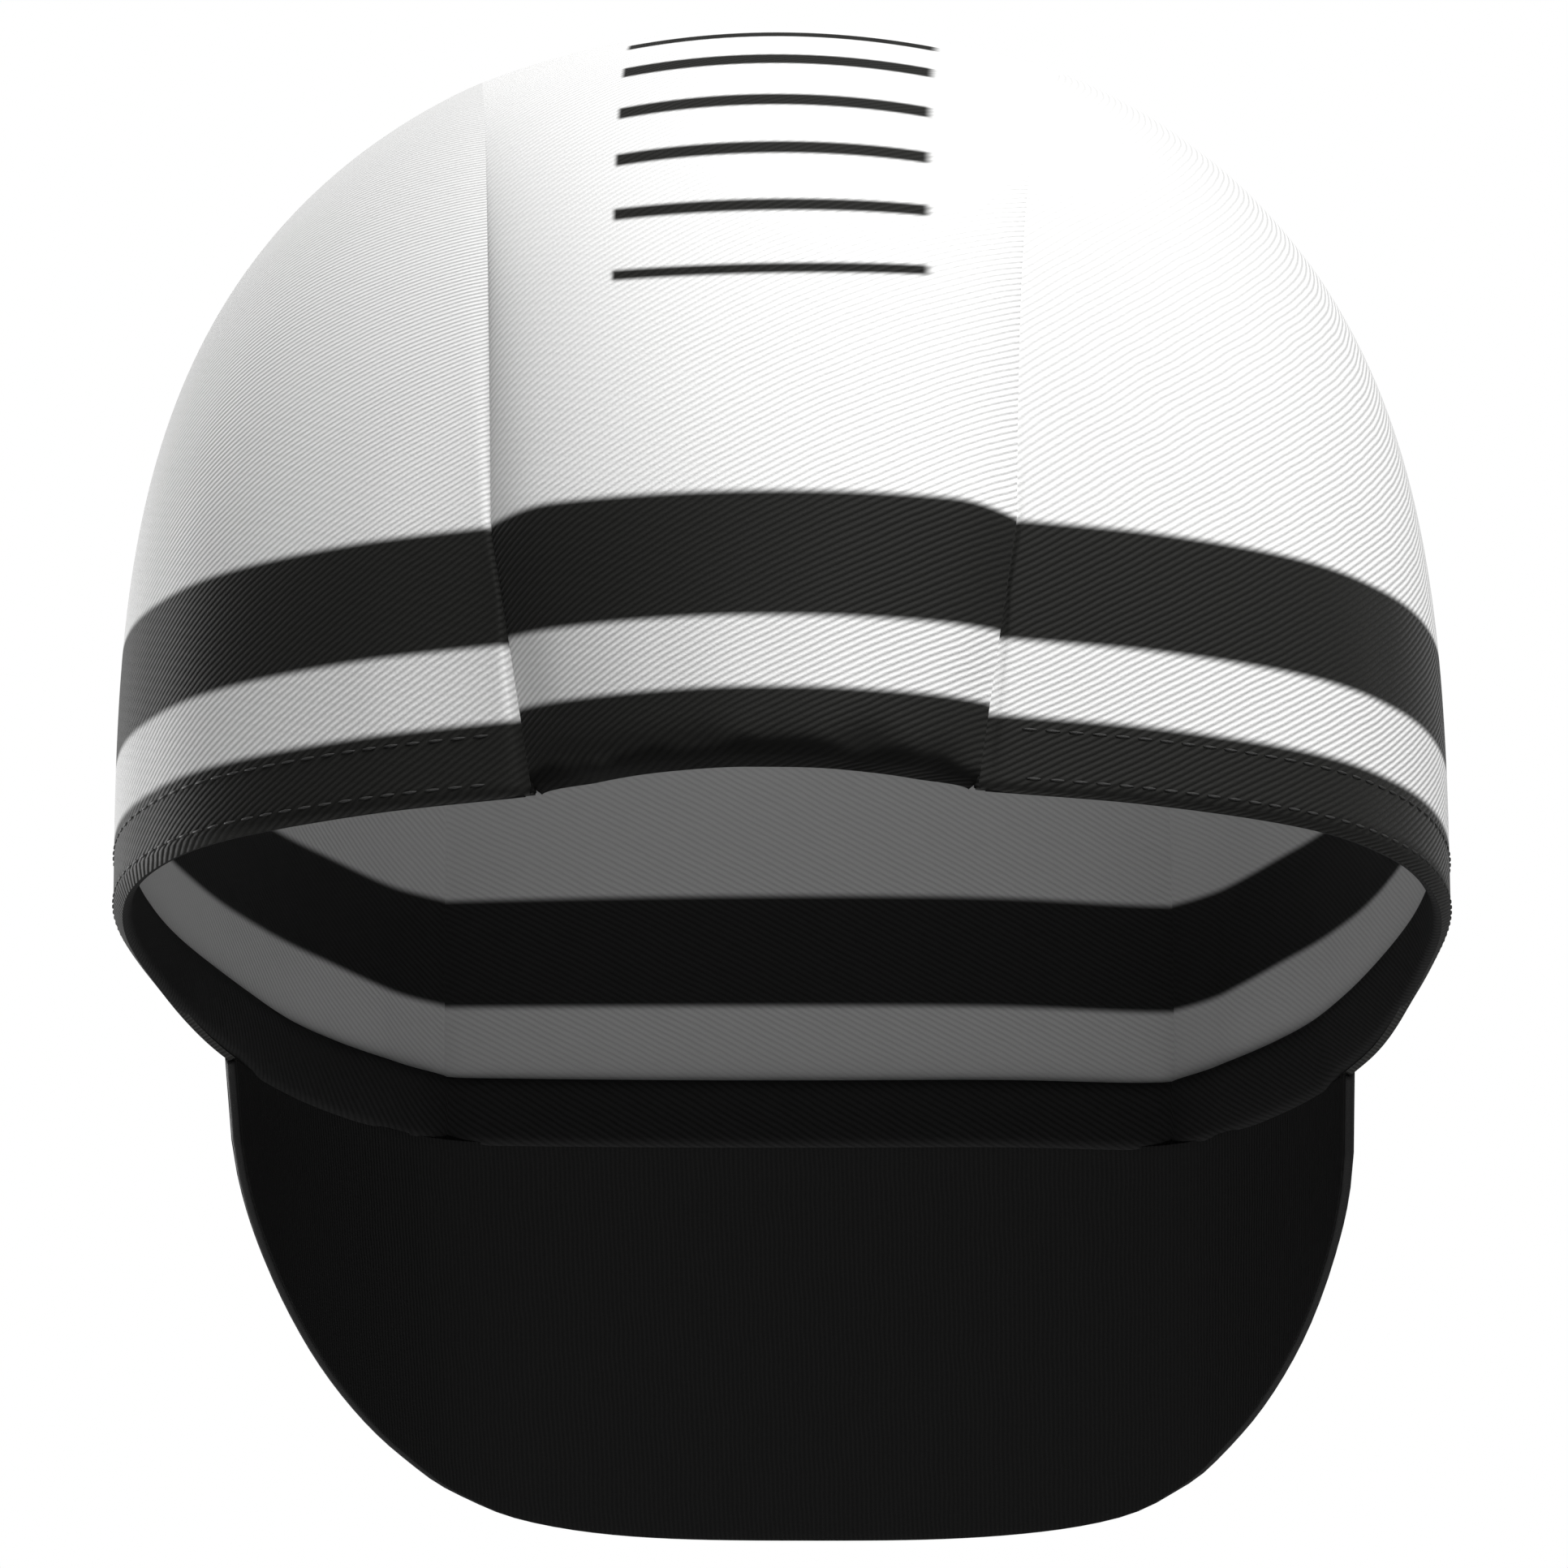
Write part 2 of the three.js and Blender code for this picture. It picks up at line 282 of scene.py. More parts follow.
def gridMesh(points, layers, centre=(0, 0, 40)):
    # a sheet through a grid of points, facing away from the centre, with its UV layers
    columns, rows = len(points) - 1, len(points[0]) - 1
    bm = bmesh.new()
    bmesh.ops.create_grid(bm, x_segments=columns, y_segments=rows, size=0.5)
    place = {v: (round((v.co.x + 0.5) * columns), round((v.co.y + 0.5) * rows)) for v in bm.verts}
    for v, (i, j) in place.items():
        v.co = points[i][j] * mm
    for layerName, values in layers.items():
        uv = bm.loops.layers.uv.new(layerName)
        for face in bm.faces:
            for loop in face.loops:
                i, j = place[loop.vert]
                loop[uv].uv = values[i][j]
    bm.normal_update()
    middle = Vector(centre) * mm
    facing = sum(f.normal.dot(f.calc_center_median() - middle) * f.calc_area() for f in bm.faces)
    if facing < 0:
        bmesh.ops.reverse_faces(bm, faces=bm.faces)
    bm.normal_update()
    return bm


# materials, with their sizes in millimetres
twill = {
    "pitch": 0.74, "ribAngle": 29, "sharpness": 0.8, "wander": 0.88, "wanderScale": 0.09,
    "floatLength": 1.9, "floatDepth": 0.09, "floatLevel": 0.86, "stagger": 0.382,  # breaks along each rib
    "grain": 0.35, "grainScale": 3.2, "bump": 0.11,
}
peakRibs = {"pitch": 0.62, "wander": 1.2, "wanderScale": 0.12, "grain": 0.8, "grainScale": 2.6}
finish = {
    "roughness": 0.65, "sheenRoughness": 0.35, "printedSheen": 0.09,
    "whiteGloss": 0.15, "blackGloss": 0.05, "plainGloss": 0.03, "peakGloss": 0.06, "peakRoughness": 0.7,
    "rollShadeDull": 0.55,  # how much of its sheen and gloss the cloth loses under the painted shade of the roll at the nape
    "reverseGloss": 0.05, "reverseBump": 0.35, "plainBump": 0.6,
}
stripes = {
    # where the hem, the white band and the black band end above the rim
    "side": (8.8, 17.6, 31.8), "nape": (8.6, 17.2, 32.3), "brow": (8.3, 18, 32.85),
    "insideHem": 7.5,  # inside, the hem band ends at this height, behind the turned hem
    # the bands rise at the temples: where along the rim from the front seam, and over what length
    "templeRise": 1.2, "templeUp": (17, 28), "templeDown": (54, 40),
    "rise": 1.7, "halfWidth": 30, "edge": 1.25,  # at the nape they rise towards the seams
    "fall": 1.3, "fallFrom": 29.5, "fallWidth": 12,  # the top edge falls off beside the seams
    "shadedLowWhiteTop": 25, "shadedLowWhiteEdge": 1,  # below this the white cloth takes the white band's colours, painted darker: painted shade low on the cap
    # how high the painted shade under the roll at the nape reaches, and how it wavers
    "rollShadeTop": 2.3, "rollShadeWander": 3.6, "rollShadeWanderScale": 0.13, "rollShadeEdge": 1.5,
}
stroke = {
    # the six printed lines: distance from the nape, width, how far the ends rise
    "lines": (
        (60.7, 1.5, 1.2), (70.2, 1.9, 0.95), (80.1, 2.3, 0.6),
        (90.3, 2.7, 0.45), (102.4, 3.5, 0.5), (115.4, 3.5, 0.5),
    ),
    "from": -18.3, "to": 18.7, "edge": 0.8, "fade": 1.8,  # at the -X end they fade out
    "halfLength": 18,  # where the ends have risen in full
    "offset": 2.1, "tilt": 0.03,  # the lines sit towards -X and slant
}
colours = {
    "white": ((0.775, 0.775, 0.77), (0.62, 0.62, 0.617)),  # on a rib, between ribs; in each pair the darker colour between the ribs is painted shade in the twill's grooves
    # the side panels' copy of the same white cloth, painted darker than the strip's: painted shade
    "shadedSideWhite": ((0.74, 0.74, 0.735), (0.55, 0.55, 0.547)),
    "shadedLowWhite": ((0.74, 0.74, 0.736), (0.46, 0.46, 0.458)),  # the white band, darker and with darker grooves between the ribs: painted shade low on the cap
    "black": ((0.0175, 0.0175, 0.0164), (0.0095, 0.0095, 0.0088)),
    "rollShadeBlack": (0.006, 0.006, 0.0057),  # painted shade under the roll at the nape
    # the reverse of the white is painted grey: painted shade for the inside of the crown
    "whiteReverse": ((0.39, 0.39, 0.39), (0.355, 0.355, 0.355)),
    "blackReverse": ((0.016, 0.016, 0.016), (0.0105, 0.0105, 0.0105)),
    "peak": ((0.006, 0.006, 0.0059), (0.0028, 0.0028, 0.0028)),
    "thread": (0.045, 0.045, 0.044),
    "binding": (0.008, 0.008, 0.008),
}
threadFinish = {"grainScale": 9000, "shade": 0.6, "roughness": 0.6}


class Nodes:
    # short calls for one material's node tree
    def __init__(self, name):
        self.material = bpy.data.materials.new(name)
        self.material.use_nodes = True
        self.tree = self.material.node_tree
        self.shader = self.tree.nodes["Principled BSDF"]

    def add(self, kind, inputs=(), **settings):
        node = self.tree.nodes.new(kind)
        for key, value in settings.items():
            setattr(node, key, value)
        for key, value in dict(inputs).items():
            self.feed(node.inputs[key], value)
        return node

    def feed(self, socket, value):
        if isinstance(value, bpy.types.NodeSocket):
            self.tree.links.new(value, socket)
        else:
            socket.default_value = value

    def math(self, operation, a, b=0.0, c=0.0):
        return self.add("ShaderNodeMath", {0: a, 1: b, 2: c}, operation=operation).outputs[0]

    def step(self, value, edge, width):
        # 0 below the edge and 1 above it, with a soft change between
        span = {"Value": value, "From Min": edge - width / 2, "From Max": edge + width / 2}
        return self.add("ShaderNodeMapRange", span, interpolation_type="SMOOTHSTEP").outputs["Result"]

    def blend(self, share, a, b):
        node = self.add("ShaderNodeMix", data_type="RGBA")
        for socket, value in zip((node.inputs[0], node.inputs[6], node.inputs[7]), (share, a, b)):
            self.feed(socket, (*value, 1) if isinstance(value, tuple) else value)
        return node.outputs[2]

    def noise(self, vector, scale, detail=2.0):
        node = self.add("ShaderNodeTexNoise", {"Vector": vector, "Scale": scale, "Detail": detail})
        return node.outputs["Fac"]

    def layer(self, name):
        # a UV layer in millimetres, and its two parts
        uv = self.add("ShaderNodeUVMap", uv_map=name).outputs["UV"]
        scaled = self.add("ShaderNodeMapping", {"Vector": uv, "Scale": (1000, 1000, 1000)}).outputs["Vector"]
        parts = self.add("ShaderNodeSeparateXYZ", {"Vector": scaled})
        return scaled, parts.outputs["X"], parts.outputs["Y"]


def twillHeight(n, vector, across, up):
    # 1 on a rib and 0 between ribs, with the floats and the grain of the yarn
    angle = math.radians(twill["ribAngle"])
    drift = n.math("SUBTRACT", n.noise(vector, twill["wanderScale"], 3), 0.5)
    wander = n.math("MULTIPLY", drift, twill["wander"])
    rise = n.math("MULTIPLY", up, math.cos(angle) / twill["pitch"])
    run = n.math("MULTIPLY", across, math.sin(angle) / twill["pitch"])
    phase = n.math("ADD", n.math("SUBTRACT", rise, run), wander)
    ridge = n.math("MULTIPLY_ADD", n.math("COSINE", n.math("MULTIPLY", phase, 2 * math.pi)), 0.5, 0.5)
    along = n.math("ADD", n.math("MULTIPLY", across, math.cos(angle) / twill["floatLength"]),
                   n.math("MULTIPLY", up, math.sin(angle) / twill["floatLength"]))
    stagger = n.math("MULTIPLY", n.math("FLOOR", phase), twill["stagger"])
    breaks = n.math("COSINE", n.math("MULTIPLY", n.math("ADD", along, stagger), 2 * math.pi))
    floats = n.math("MULTIPLY_ADD", breaks, twill["floatDepth"], twill["floatLevel"])
    ribbed = n.math("MULTIPLY", n.math("POWER", ridge, twill["sharpness"]), floats)
    grain = n.math("SUBTRACT", n.noise(vector, twill["grainScale"], 2), 0.5)
    return n.math("MULTIPLY_ADD", grain, twill["grain"], ribbed)


def bandPlaces(end, reverse):
    places = stripes[end]
    return (stripes["insideHem"], *places[1:]) if reverse else places


def stripeMask(n, distance, places, topDistance=None):
    # 1 on the hem band and on the black band, 0 on the white cloth
    distances = (distance, distance, topDistance or distance)
    edges = [n.step(away, place, stripes["edge"]) for away, place in zip(distances, places)]
    return n.math("SUBTRACT", n.math("ADD", n.math("SUBTRACT", 1.0, edges[0]), edges[1]), edges[2])


def strokeMask(n, across, fromNape):
    across = n.math("SUBTRACT", across, stroke["offset"])
    within = n.math("SUBTRACT", n.step(across, stroke["from"], stroke["edge"]),
                    n.step(across, stroke["to"], stroke["fade"]))
    fromNape = n.math("MULTIPLY_ADD", across, -stroke["tilt"], fromNape)
    bow = n.math("POWER", n.math("DIVIDE", across, stroke["halfLength"]), 2.0)
    total = 0.0
    for place, width, rise in stroke["lines"]:
        level = n.math("MULTIPLY_ADD", bow, -rise, fromNape)
        off = n.math("ABSOLUTE", n.math("SUBTRACT", level, place))
        total = n.math("ADD", total, n.math("SUBTRACT", 1.0, n.step(off, width / 2, stroke["edge"])))
    return n.math("MULTIPLY", within, total)


def finishCloth(n, height, colour, roughness=finish["roughness"], sheen=0.0, bumpScale=1.0,
                gloss=finish["whiteGloss"]):
    n.feed(n.shader.inputs["Base Color"], colour)
    n.shader.inputs["Roughness"].default_value = roughness
    n.feed(n.shader.inputs["Sheen Weight"], sheen)
    n.shader.inputs["Sheen Roughness"].default_value = finish["sheenRoughness"]
    n.feed(n.shader.inputs["Specular IOR Level"], gloss)
    bump = n.add("ShaderNodeBump", {"Height": height, "Strength": 1.0,
                                    "Distance": twill["bump"] * bumpScale * mm})
    n.feed(n.shader.inputs["Normal"], bump.outputs["Normal"])
    return n.material


def printedCloth(name, isStrip, reverse=False):
    # white twill with its black bands, or the reverse of it that shows inside, its white painted grey:
    # painted shade for the inside of the crown
    n = Nodes(name)
    vector, across, up = n.layer("cloth")
    height = twillHeight(n, vector, across, up)
    if isStrip:
        _, fromBrow, fromNape = n.layer("stripes")
        bend = n.math("POWER", n.math("DIVIDE", across, stripes["halfWidth"]), 2.0)
        level = n.math("MULTIPLY_ADD", bend, -stripes["rise"], fromNape)
        fall = n.step(n.math("ABSOLUTE", across), stripes["fallFrom"], stripes["fallWidth"])
        topLevel = n.math("MULTIPLY_ADD", fall, stripes["fall"], level)
        mask = n.math("MAXIMUM", stripeMask(n, fromBrow, bandPlaces("brow", reverse)),
                      stripeMask(n, level, bandPlaces("nape", reverse), topLevel))
        level = n.math("MINIMUM", fromBrow, level)
        if not reverse:
            mask = n.math("MAXIMUM", mask, strokeMask(n, across, fromNape))
    else:
        alongRim = n.math("ABSOLUTE", across)
        risen = n.math("MULTIPLY", n.step(alongRim, *stripes["templeUp"]),
                       n.math("SUBTRACT", 1.0, n.step(alongRim, *stripes["templeDown"])))
        level = n.math("MULTIPLY_ADD", risen, -stripes["templeRise"], up)
        mask = stripeMask(n, level, bandPlaces("side", reverse))
    if reverse:
        # inside, the grey of the white is painted shade for the inside of the crown
        dark, pale = (n.blend(height, *reversed(colours[kind + "Reverse"])) for kind in ("black", "white"))
        return finishCloth(n, height, n.blend(mask, pale, dark), bumpScale=finish["reverseBump"],
                           gloss=finish["reverseGloss"])
    # the side panels' white is painted darker than the strip's: painted shade
    kinds = ("black", "white" if isStrip else "shadedSideWhite", "shadedLowWhite")
    # the darker colour between the ribs is painted shade in the twill's grooves
    dark, pale, shadedLowPale = (n.blend(height, *reversed(colours[kind])) for kind in kinds)
    # low on the cap the white band is painted darker: painted shade
    pale = n.blend(n.step(level, stripes["shadedLowWhiteTop"], stripes["shadedLowWhiteEdge"]), shadedLowPale, pale)
    sheen = finish["printedSheen"]
    gloss = n.math("MULTIPLY_ADD", mask, finish["blackGloss"] - finish["whiteGloss"], finish["whiteGloss"])
    if isStrip:
        # under the roll at the nape the cloth is painted darker and duller: painted shade
        drift = n.noise(vector, stripes["rollShadeWanderScale"], 1)
        wander = n.math("MULTIPLY_ADD", drift, stripes["rollShadeWander"], fromNape)
        rollShadeTop = stripes["rollShadeTop"] + stripes["rollShadeWander"] / 2
        # rolled marks where the shade under the roll is painted
        rolled = n.math("SUBTRACT", 1.0, n.step(wander, rollShadeTop, stripes["rollShadeEdge"]))
        dark = n.blend(rolled, dark, colours["rollShadeBlack"])
        rollShadeDimming = n.math("MULTIPLY_ADD", rolled, -finish["rollShadeDull"], 1.0)
        sheen = n.math("MULTIPLY", rollShadeDimming, sheen)
        gloss = n.math("MULTIPLY", rollShadeDimming, gloss)
    return finishCloth(n, height, n.blend(mask, pale, dark), sheen=sheen, gloss=gloss)


def plainReverse(name):
    # the black reverse of the twill, without bands
    n = Nodes(name)
    vector, across, up = n.layer("cloth")
    height = twillHeight(n, vector, across, up)
    # the darker black between the ribs is painted shade in the twill's grooves
    rib, groove = colours["blackReverse"]
    return finishCloth(n, height, n.blend(height, groove, rib), bumpScale=finish["plainBump"],
                       gloss=finish["plainGloss"])


def peakCloth(name):
    # fine upright ribs with a little gloss; the grooves between them are painted darker: painted shade
    n = Nodes(name)
    vector, across, _ = n.layer("cloth")
    drift = n.math("SUBTRACT", n.noise(vector, peakRibs["wanderScale"], 2), 0.5)
    wander = n.math("MULTIPLY", drift, peakRibs["wander"])
    phase = n.math("ADD", n.math("DIVIDE", across, peakRibs["pitch"]), wander)
    ridge = n.math("MULTIPLY_ADD", n.math("COSINE", n.math("MULTIPLY", phase, 2 * math.pi)), 0.5, 0.5)
    grain = n.math("SUBTRACT", n.noise(vector, peakRibs["grainScale"], 2), 0.5)
    height = n.math("MULTIPLY_ADD", grain, peakRibs["grain"], ridge)
    rib, groove = colours["peak"]
    return finishCloth(n, height, n.blend(height, groove, rib), roughness=finish["peakRoughness"],
                       bumpScale=finish["plainBump"], gloss=finish["peakGloss"])


def threadMaterial(name, colour):
    n = Nodes(name)
    place = n.add("ShaderNodeTexCoord").outputs["Object"]
    height = n.noise(place, threadFinish["grainScale"], 1)
    shade = tuple(channel * threadFinish["shade"] for channel in colour)
    return finishCloth(n, height, n.blend(height, shade, colour), roughness=threadFinish["roughness"])


twillStrip = printedCloth("twillStrip", True)
twillSide = printedCloth("twillSide", False)
shadedReverseStrip = printedCloth("shadedReverseStrip", True, reverse=True)
shadedReverseSide = printedCloth("shadedReverseSide", False, reverse=True)
hemCloth = plainReverse("hemCloth")
peakCover = peakCloth("peakCover")
blackThread = threadMaterial("blackThread", colours["thread"])
peakBinding = threadMaterial("peakBinding", colours["binding"])
print("materials made")

# the centre strip, from the nape over the top to the brow
strip = {
    "columns": 72, "rows": 210, "thickness": 0.9, "hemRadius": 1.1, "napeRadius": 1.7, "seamWidth": 4.2,
    "rollStart": 4.8, "rollDepth": 2.5, "rollEase": 7,  # the nape rolls under, but not at its seams
    "scallop": 1.8, "scallopLength": 6.5625, "scallopSeed": 4.2,
    "waveDepth": 0.7, "waveLength": 11.3333, "waveTop": 34, "waveSeed": 11.3,
    "lift": 0.9, "liftFade": 25,
}


def hemWave(across, seed):
    # smooth noise along the nape, the same on every run
    return noise.noise(Vector((across, seed, 0.37)))


def buildStrip():
    first = -foldReach * strip["napeRadius"]
    last = stripLength + foldReach * strip["hemRadius"]
    along = evenly(first, last, strip["rows"])
    turns = evenly(-math.pi / 2, math.pi / 2, strip["columns"])
    base, folds = [], []
    for s in along:
        if s < stripLength / 2:
            high, deep = foldUnder(s, strip["napeRadius"])
            angle = angleOfArc(stripLength - high)
        else:
            high, deep = foldUnder(stripLength - s, strip["hemRadius"])
            angle = angleOfArc(high)
        base.append([stripPoint(angle, turn) for turn in turns])
        folds.append(deep)
    normals = gridNormals(base)
    cloth, edges, points = [], [], []
    for i, s in enumerate(along):
        arcs = distancesAlong(base[i])
        half = arcs[-1] / 2
        row = []
        for j in range(len(turns)):
            across = arcs[j] - half
            fromSeam = half - abs(across)
            inward = folds[i] + napeRoll(across, s, fromSeam)
            p = sunken(base[i][j], fromSeam, strip["seamWidth"])
            p.z += napeLift(across, s, half)
            row.append(swayed(p - normals[i][j] * inward))
        points.append(row)
        cloth.append([((half - arc) * mm, s * mm) for arc in arcs])
        edges.append([((stripLength - s) * mm, s * mm)] * len(turns))
    bm = gridMesh(points, {"cloth": cloth, "stripes": edges})
    return finishPiece(bm, "centreStrip", [twillStrip, shadedReverseStrip],
                       ["crown_centre_strip"], strip["thickness"])


def napeRoll(across, s, fromSeam):
    # the cloth over the elastic rolls under in uneven scallops, with faint waves above it
    if s > strip["waveTop"]:
        return 0.0
    ease = smooth(fromSeam / strip["rollEase"])
    scallop = hemWave(across / strip["scallopLength"], strip["scallopSeed"]) * strip["scallop"]
    rolled = clamp(1 - (s - scallop) / strip["rollStart"]) ** 2 * strip["rollDepth"]
    wave = hemWave(across / strip["waveLength"], strip["waveSeed"]) * strip["waveDepth"]
    return (rolled + wave * smooth(1 - s / strip["waveTop"])) * ease


def napeLift(across, s, half):
    # the elastic draws the middle of the nape up
    middle = clamp(1 - (across / half) ** 2)
    return strip["lift"] * math.sqrt(middle) * smooth(1 - s / strip["liftFade"])


buildStrip()
print("centre strip built")

# the side panels: one surface, and its mirror image
side = {"columns": 190, "rows": 64, "thickness": 0.9, "hemRadius": 1.1, "seamWidth": 2}


def sideSurface():
    # for the +X panel: points, how deep they turn under, distances up the cloth and along the rim
    low = form["lowestSideAngle"]
    lowest = -foldReach * side["hemRadius"]
    shares = evenly(0, 1, 80)
    seamArc = Lookup(distancesAlong([seamPoint(a) for a in fineAngles]), fineAngles)
    first = seamArc.keys[bisect.bisect_left(fineAngles, low)]
    last = seamArc.keys[bisect.bisect_left(fineAngles, math.pi - low)]
    angles = [seamArc(arc) for arc in evenly(first, last, side["columns"])]
    angles[0], angles[-1] = low, math.pi - low
    base, folds, ups = [], [], []
    for angle in angles:
        arcs = distancesAlong([sidePoint(angle, share) for share in shares])
        shareOfArc = Lookup(arcs, shares)
        upColumn = evenly(lowest, arcs[-1], side["rows"])
        folded = [foldUnder(s, side["hemRadius"]) for s in upColumn]
        base.append([sidePoint(angle, shareOfArc(high)) for high, _ in folded])
        folds.append([deep for _, deep in folded])
        ups.append(upColumn)
    rimArc = distancesAlong([column[0] for column in base])
    return base, folds, ups, rimArc


sideBase, sideFolds, sideUps, sideRimArc = sideSurface()
sideNormals = gridNormals(sideBase)


def buildSide(name, sign, node):
    points, cloth = [], []
    for i, column in enumerate(sideBase):
        row = []
        for j, p in enumerate(column):
            fromSeam = min(sideUps[i][-1] - sideUps[i][j], edgeDistance(i, j))
            p = sunken(p, fromSeam, side["seamWidth"]) - sideNormals[i][j] * sideFolds[i][j]
            row.append(swayed(Vector((p.x * sign, p.y, p.z))))
        points.append(row)
        cloth.append([(sideRimArc[i] * sign * mm, up * mm) for up in sideUps[i]])
    bm = gridMesh(points, {"cloth": cloth}, centre=(30 * sign, 0, 30))
    return finishPiece(bm, name, [twillSide, shadedReverseSide], [node], side["thickness"])


def edgeDistance(i, j):
    # how far a point lies from the seams that run up the two ends of the panel
    ends = (sideBase[0][j], sideBase[-1][j])
    return min((sideBase[i][j] - end).length for end in ends)


buildSide("sidePanelRight", 1, "crown_side_right")
buildSide("sidePanelLeft", -1, "crown_side_left")
print("side panels built")

# the two long seams: a thin roll of cloth just under the gap between the panels
seam = {"depth": 0.5, "radius": 0.42, "steps": 420, "sides": 6, "pastHem": 0.3, "angleStep": 0.002}


def buildSeam(name, sign):
    ring = evenly(0, 2 * math.pi, seam["sides"])
    step = seam["angleStep"]
    points, cloth, edges = [], [], []
    for s in evenly(-seam["pastHem"], stripLength + seam["pastHem"], seam["steps"]):
        angle = angleOfArc(stripLength - clamp(s, 0, stripLength))
        here, before, after = (seamPoint(clamp(a, 0, math.pi)) for a in (angle, angle + step, angle - step))
        along = (after - before).normalized()
        middle = sunken(here, 0, 1)
        middle += (Vector(seamDip["centre"]) - here).normalized() * seam["depth"]
        sideways = along.orthogonal().normalized()
        upwards = along.cross(sideways)
        row = [middle + (sideways * math.cos(a) + upwards * math.sin(a)) * seam["radius"] for a in ring]
        points.append([swayed(Vector((p.x * sign, p.y, p.z))) for p in row])
        cloth.append([(0, s * mm)] * len(ring))
        edges.append([((stripLength - s) * mm, s * mm)] * len(ring))
    bm = gridMesh(points, {"cloth": cloth, "stripes": edges})
    bmesh.ops.remove_doubles(bm, verts=bm.verts, dist=1e-7)
    bmesh.ops.recalc_face_normals(bm, faces=bm.faces)
    return finishPiece(bm, name, [twillStrip])


buildSeam("seamRight", 1)
buildSeam("seamLeft", -1)
print("seams built")


def fromAbove(points):
    return [Vector((p.x, p.y, 0)) for p in points]


# the rim seen from above, from one back seam round the brow to the other
brow = fromAbove([stripPoint(0, turn) for turn in evenly(-math.pi / 2, math.pi / 2, 40)])
sideRim = fromAbove([column[0] for column in sideBase])
outline = [Vector((-p.x, p.y, 0)) for p in reversed(sideRim)] + brow[1:-1] + sideRim
outlineArc = distancesAlong(outline)
outlineX = Lookup(outlineArc, [p.x for p in outline])
outlineY = Lookup(outlineArc, [p.y for p in outline])


def rimAt(arc, depth=0.0):
    # a point of the rim at a distance along it, moved inwards by a depth
    step = 0.6
    here, before, after = (Vector((outlineX(a), outlineY(a), 0)) for a in (arc, arc - step, arc + step))
    along = (after - before).normalized()
    return here + Vector((-along.y, along.x, 0)) * depth


# sizes of the peak, which the hem needs too
peak = {
    "length": 69.3, "cornerLength": 11.4, "slope": 38, "halfWidth": 71.7,
    "middlePower": 3.6, "cornerPower": 2.03,
    "wornPower": 3.3,  # in place of middlePower on the -X side, where the corner is worn rounder
    "shift": 1.1, "tilt": 0.0035, "tiltFade": 30,  # it sits towards +X, and its front slants a little
    "columns": 150, "rows": 44, "thickness": 1.6, "softEdge": 0.6, "sharpAngle": 50,
    "rootDepth": 1.25, "rootZ": -0.1, "smoothing": 7, "smoothingSteps": 8,  # where it meets the rim
    "edgeRadius": 0.6, "edgeSides": 8, "edgeEvery": 2,  # its rolled edge, with a ring at every second point
    "rimSteps": 4000,  # steps round the rim in which its ends are looked for
}

# the hem turned up inside the side panels and the brow
hem = {
    "columns": 320, "height": 8.3, "browHeight": 8.0, "browBlend": 6, "radius": 1.1, "thickness": 0.6,
    "wallStart": 0.6, "wallEnd": 1.4, "endGap": 1.2,
    "topEdge": ((0.7, 0.15), (0.15, 0.5), (0, 1.1)),  # down from the top, out from the wall
    "drop": 1.1, "dropEase": 2.5,  # how far it reaches down behind the peak, and how gently that starts
}


def hemProfile():
    # (height, depth) up the inside, from under the rim to the stitched top edge
    radius = hem["radius"]
    turns = evenly(0, math.pi / 2, 6)
    bottom = [(radius - radius * math.cos(turned), radius + radius * math.sin(turned)) for turned in turns]
    levels = evenly(radius + hem["wallStart"], hem["height"] - hem["wallEnd"], 8)
    wall = [(level, 2 * radius) for level in levels]
    top = [(hem["height"] - down, 2 * radius - out) for down, out in hem["topEdge"]]
    return bottom + wall + top


def buildHem():
    profile = hemProfile()
    points, cloth = [], []
    reachUp = distancesAlong([Vector((0, d, h)) for h, d in profile])
    for arc in evenly(hem["endGap"], outlineArc[-1] - hem["endGap"], hem["columns"]):
        row = []
        atRim = rimAt(arc)
        inFront = 1 if atRim.y < 0 else 0
        fromBrowSeam = form["seamHalfWidthBrow"] - abs(atRim.x)
        atBrow = inFront * smooth(fromBrowSeam / hem["browBlend"] + 0.5)
        fromPeakEnd = peak["halfWidth"] - abs(atRim.x - peak["shift"])
        atPeak = inFront * smooth(fromPeakEnd / hem["dropEase"])
        stretch = mix(1, hem["browHeight"] / hem["height"], atBrow)
        for high, deep in profile:
            p = rimAt(arc, deep)
            p.x -= math.copysign(lean(p.y, high), p.x)
            drop = hem["drop"] * atPeak * (1 - high / hem["height"])
            row.append(swayed(p + Vector((0, 0, high * stretch - drop))))
        points.append(row)
        cloth.append([(arc * mm, r * mm) for r in reachUp])
    bm = gridMesh(points, {"cloth": cloth}, centre=(0, 0, 4))
    bmesh.ops.reverse_faces(bm, faces=bm.faces)  # this face looks into the cap
    return finishPiece(bm, "turnedHem", [hemCloth], ["rim_hem"], hem["thickness"])


buildHem()
print("hem built")

# the ruffled casing of the elastic, inside the nape
casing = {
    "columns": 150, "rows": 14, "rowHeight": 0.8, "thickness": 0.6,
    "height": 8.4, "lift": 0.9, "radius": 1.7,
    "turn": 1.42, "pastCasing": 2,  # it ends short of the seams, by about 2 mm
    "foldShare": 0.3, "topCurl": 1.5, "curlFrom": 0.86,
    "ruffle": 0.55, "ruffleLength": 3.3, "ruffleWander": 3, "wanderLength": 9, "wanderSeed": 1.7,
}


def casingProfile(share):
    # height and depth of the smooth casing, from its fold at the bottom to its curled top edge
    radius = casing["radius"]
    folded = casing["foldShare"]
    if share < folded:
        turned = share / folded * math.pi / 2
        return radius - radius * math.cos(turned), radius + radius * math.sin(turned)
    high = mix(radius, casing["height"], (share - folded) / (1 - folded))
    curl = smooth((share - casing["curlFrom"]) / (1 - casing["curlFrom"]))
    return high, 2 * radius - casing["topCurl"] * curl


